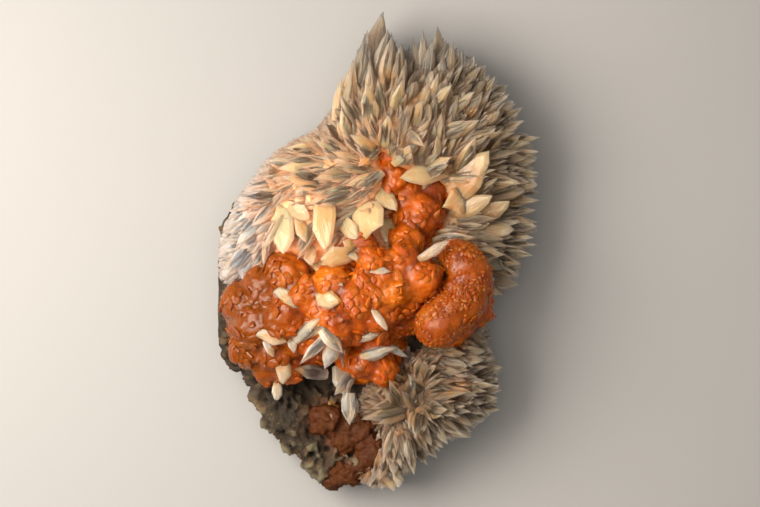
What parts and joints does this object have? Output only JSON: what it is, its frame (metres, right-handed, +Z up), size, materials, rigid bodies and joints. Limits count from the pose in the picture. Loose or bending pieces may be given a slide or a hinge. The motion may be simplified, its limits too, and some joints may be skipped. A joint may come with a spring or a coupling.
{
  "type": "mineral specimen",
  "caption": "Hand specimen of colemanite: crusts of pale bladed crystals and rounded orange growths with a hooked lobe, on a piece of porous grey-brown rock.",
  "frame": {"origin": "On the surface that the specimen lies on, under the middle of its bounding box.", "axes": "+Z up, from the rough back of the rock to the crystals; +Y along the specimen's length to the crystal spire; +X to the right as seen from above."},
  "size_m": [0.1079, 0.1599, 0.0491],
  "materials": {
    "rock": "matte",
    "orange_growth": "gloss",
    "pale_crystal": "gloss",
    "perched_crystal": "gloss"
  },
  "bodies": {
    "root": {"matrix_rock": "rock", "orange_mass": "orange_growth", "orange_lobe": "orange_growth", "upper_crystal_crust": "pale_crystal", "lower_crystal_crust": "pale_crystal", "orange_floor": "orange_growth", "perched_jagged_leaf": "perched_crystal", "perched_round_plate": "perched_crystal", "perched_lying_leaf": "perched_crystal", "perched_forked_pair": "perched_crystal", "perched_drop_plate": "perched_crystal", "perched_small_tooth": "perched_crystal", "perched_small_wedge": "perched_crystal", "perched_hanging_cluster": "perched_crystal", "perched_grey_blade": "perched_crystal", "perched_slim_leaf": "perched_crystal", "perched_upright_leaf": "perched_crystal", "perched_small_leaf": "perched_crystal", "perched_seed_blade": "perched_crystal", "perched_long_leaf": "perched_crystal", "perched_bent_leaf": "perched_crystal", "perched_brush": "perched_crystal", "perched_pocket_crystal": "perched_crystal", "perched_floor_tooth": "perched_crystal", "perched_floor_plate": "perched_crystal", "perched_edge_tooth": "perched_crystal"}
  },
  "joints": []
}
